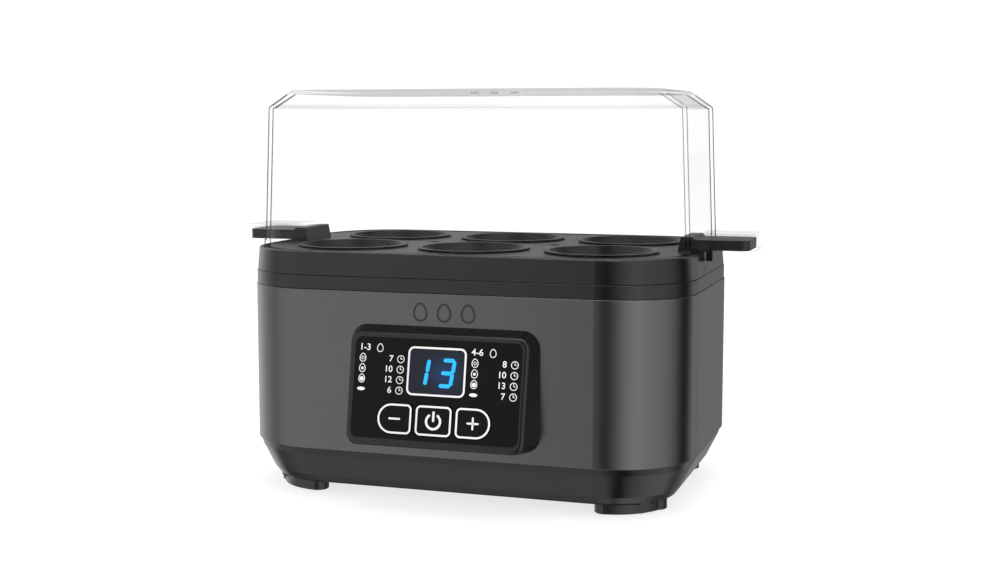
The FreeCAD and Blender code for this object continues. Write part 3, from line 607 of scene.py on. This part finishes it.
def face_print():
    """Two tables: a heading with how many eggs, then rows of a pictogram, the minutes and a clock."""
    art = Print()
    for left, heading, rows in COOKING_TABLES:
        art.number(heading, left, HEADING_Y, HEADING_SIZE)
        art.egg(left + HEADING_EGG_X, HEADING_Y, HEADING_EGG_TALL, FINE)
        for i, (kind, minutes) in enumerate(rows):
            y = FIRST_ROW_Y - ROW_STEP * i
            pictogram(art, kind, left + PICTOGRAM_X, y)
            art.number(minutes, left + MINUTES_RIGHT, y, MINUTES_SIZE, "RIGHT")
            art.clock(left + CLOCK_X, y, CLOCK_RADIUS)
    art.finish("print_face", PANEL, 0.0, PRINT_WHITE, "housing")


WINDOW_X = (-11.0, 11.0)
WINDOW_Y = (-20.5, -3.1)
WINDOW_RADII = (2.4, 2.4, 2.4, 2.4)
WINDOW_LINE_INSET = 0.1


def window_frame():
    art = Print()
    art.frame(WINDOW_X, WINDOW_Y, WINDOW_RADII, LINE, WINDOW_LINE_INSET)
    art.finish("print_window_frame", PANEL, 0.0, PRINT_WHITE, "housing")


# The lit bars of each figure, counted from the top clockwise round the outside, with the middle one last.
LIT = {"1": (1, 2), "3": (0, 1, 2, 3, 6)}
DIGIT_WIDE = 4.3
DIGIT_TALL = 9.0
DIGIT_SLANT = math.tan(math.radians(8.0))
BAR = 1.4
BAR_GAP = 0.75
DIGITS_Y = -16.6
DIGITS = (("1", -8.4), ("3", 1.1))


def digit(art, figure, x, y):
    """One seven-bar figure, with x and y at its lower left."""
    w, h, gap = DIGIT_WIDE, DIGIT_TALL / 2, BAR_GAP
    bars = [
        ((gap, 2 * h), (w - gap, 2 * h)),
        ((w, 2 * h - gap), (w, h + gap)),
        ((w, h - gap), (w, gap)),
        ((gap, 0), (w - gap, 0)),
        ((0, h - gap), (0, gap)),
        ((0, 2 * h - gap), (0, h + gap)),
        ((gap, h), (w - gap, h)),
    ]
    for i in LIT[figure]:
        points = [(x + px + py * DIGIT_SLANT, y + py) for px, py in bars[i]]
        art.stroke(points, BAR)


def lit_digits():
    art = Print()
    for figure, x in DIGITS:
        digit(art, figure, x, DIGITS_Y)
    art.finish("display_digits", PANEL, 0.0, DIGIT_BLUE, "housing")


MARK_Z = 71.2
MARK_STEP = 9.0
MARK_TALL = 6.2
MARK_LINE = 0.75


def wall_mark():
    """Three plain egg outlines on the front wall, above the panel."""
    art = Print()
    for i in (-1, 0, 1):
        art.egg(i * MARK_STEP, 0.0, MARK_TALL, MARK_LINE)
    upright = Matrix.Translation((0.0, BODY_LOW.y, MARK_Z * MM)) @ Matrix.Rotation(math.pi / 2, 4, "X")
    art.finish("print_wall_mark", upright, 0.0, PRINT_DARK, "housing")


for key in KEYS:
    key_print(key)
face_print()
window_frame()
lit_digits()
wall_mark()


# ---------------------------------------------------------------- stage, light and camera
FLOOR_HALF = 6.0
FLOOR_GLOW = 0.76
FLOOR_SHADES = (0.28, 0.30)


def make_floor():
    """A matt floor that glows, so that only the object's faint shadow shows on it."""
    mesh = bpy.data.meshes.new("floor")
    corners = [(x * FLOOR_HALF, y * FLOOR_HALF, 0) for x, y in ((-1, -1), (1, -1), (1, 1), (-1, 1))]
    mesh.from_pydata(corners, [], [(0, 1, 2, 3)])
    floor = bpy.data.objects.new("floor", mesh)
    bpy.context.scene.collection.objects.link(floor)
    material = bpy.data.materials.new("floor")
    nodes = Nodes(material)
    shades = nodes.ramp(nodes.noise(3.0), grey(FLOOR_SHADES[0]), grey(FLOOR_SHADES[1]))
    nodes.set(nodes.bsdf, "Base Color", shades)
    nodes.set(nodes.bsdf, "Roughness", 0.8)
    nodes.set(nodes.bsdf, "Specular IOR Level", 0.0)
    nodes.set(nodes.bsdf, "Emission Color", WHITE)
    nodes.set(nodes.bsdf, "Emission Strength", FLOOR_GLOW)
    floor.data.materials.append(material)
    floor.visible_glossy = False


# What a glossy surface sees round about: degrees from the front towards the right, and brightness.
SURROUND = (
    (-180, 0.3), (-150, 0.65), (-117, 1.15), (-107, 1.05), (-97, 0.95), (-77, 0.62), (-66, 1.02),
    (-26, 1.12), (-19, 1.05), (-12, 0.66), (-5, 0.12), (5, 0.10), (15, 0.48), (26, 1.0), (36, 1.35),
    (46, 1.52), (56, 1.25), (86, 1.0), (98, 0.72), (106, 0.42), (116, 0.04), (127, 0.03), (136, 0.45),
    (145, 0.8), (156, 0.42), (166, 0.32), (180, 0.3),
)
# The same for rays that go down, from the base's slope.
GROUND = (
    (-180, 0.08), (-140, 0.3), (-118, 0.1), (-98, 0.3), (-70, 0.8), (-40, 0.88), (-8, 0.86), (2, 0.6),
    (12, 0.3), (22, 0.03), (36, 0.03), (48, 0.5), (62, 0.78), (100, 1.15), (126, 0.85), (140, 0.25),
    (180, 0.08),
)
# How far down a ray has to point before it sees some of GROUND, and before it sees nothing else.
GROUND_FROM = -0.45
GROUND_FULL = -0.6
BRIGHTEST = 2.0
BACKDROP = 1.12


def ring_ramp(nodes, place, table):
    """The colour that a table of degrees and brightness gives at a place round the ring, from 0 to 1."""
    ramp = nodes.add("ShaderNodeValToRGB", Fac=place)
    elements = ramp.color_ramp.elements
    elements.remove(elements[-1])
    for i, (degrees, level) in enumerate(table):
        position = (degrees + 180) / 360
        element = elements[0] if i == 0 else elements.new(position)
        element.position = position
        element.color = grey(level / BRIGHTEST)
    return ramp.outputs["Color"]


def make_world():
    """White for the eye and for soft light, and rings of soft boxes with dark gaps for what is glossy."""
    world = bpy.data.worlds.new("studio")
    bpy.context.scene.world = world
    nodes = Nodes(world)
    coords = nodes.add("ShaderNodeTexCoord").outputs["Generated"]
    ray = nodes.add("ShaderNodeSeparateXYZ", Vector=coords).outputs
    turn = nodes.math("ARCTAN2", ray["X"], nodes.math("MULTIPLY", ray["Y"], -1.0))
    around = nodes.add("ShaderNodeMapRange", Value=turn, From_Min=-math.pi, From_Max=math.pi)
    place = around.outputs["Result"]
    down = nodes.add("ShaderNodeMapRange", Value=ray["Z"], From_Min=GROUND_FROM, From_Max=GROUND_FULL)
    level_ring = ring_ramp(nodes, place, SURROUND)
    ground_ring = ring_ramp(nodes, place, GROUND)
    rings = nodes.mix(down.outputs["Result"], level_ring, ground_ring)
    studio = nodes.add("ShaderNodeBackground", Color=rings, Strength=BRIGHTEST)
    backdrop = nodes.tree.nodes["Background"]
    nodes.set(backdrop, "Color", WHITE)
    nodes.set(backdrop, "Strength", BACKDROP)
    path = nodes.add("ShaderNodeLightPath").outputs
    reflected = nodes.math("SUBTRACT", path["Is Glossy Ray"], path["Is Transmission Ray"])
    reflected.node.use_clamp = True
    nodes.show_mix(reflected, backdrop, studio, "World Output")


def make_light(name, place, target, size, power):
    """A rectangular soft light, in watts, that looks at its target."""
    light = bpy.data.lights.new(name, "AREA")
    light.shape = "RECTANGLE"
    light.size, light.size_y = size
    light.energy = power
    lamp = bpy.data.objects.new(name, light)
    lamp.location = place
    lamp.rotation_euler = (Vector(target) - Vector(place)).to_track_quat("-Z", "Y").to_euler()
    bpy.context.scene.collection.objects.link(lamp)


def make_camera():
    """A camera that looks at its target from the stated direction and distance."""
    data = bpy.data.cameras.new("camera")
    data.sensor_width = 36.0
    data.lens = CAMERA_LENS
    camera = bpy.data.objects.new("camera", data)
    a, e = CAMERA_AZIMUTH, CAMERA_ELEVATION
    back = Vector((math.sin(a) * math.cos(e), -math.cos(a) * math.cos(e), math.sin(e)))
    camera.location = CAMERA_TARGET + back * CAMERA_DISTANCE
    camera.rotation_euler = (-back).to_track_quat("-Z", "Y").to_euler()
    bpy.context.scene.collection.objects.link(camera)
    bpy.context.scene.camera = camera


make_floor()
make_world()
make_light("overhead", place=(0.1, 0.0, 1.3), target=(0, 0, 0.1), size=(1.2, 1.0), power=9.0)
make_camera()
bpy.context.scene.view_settings.view_transform = "Standard"
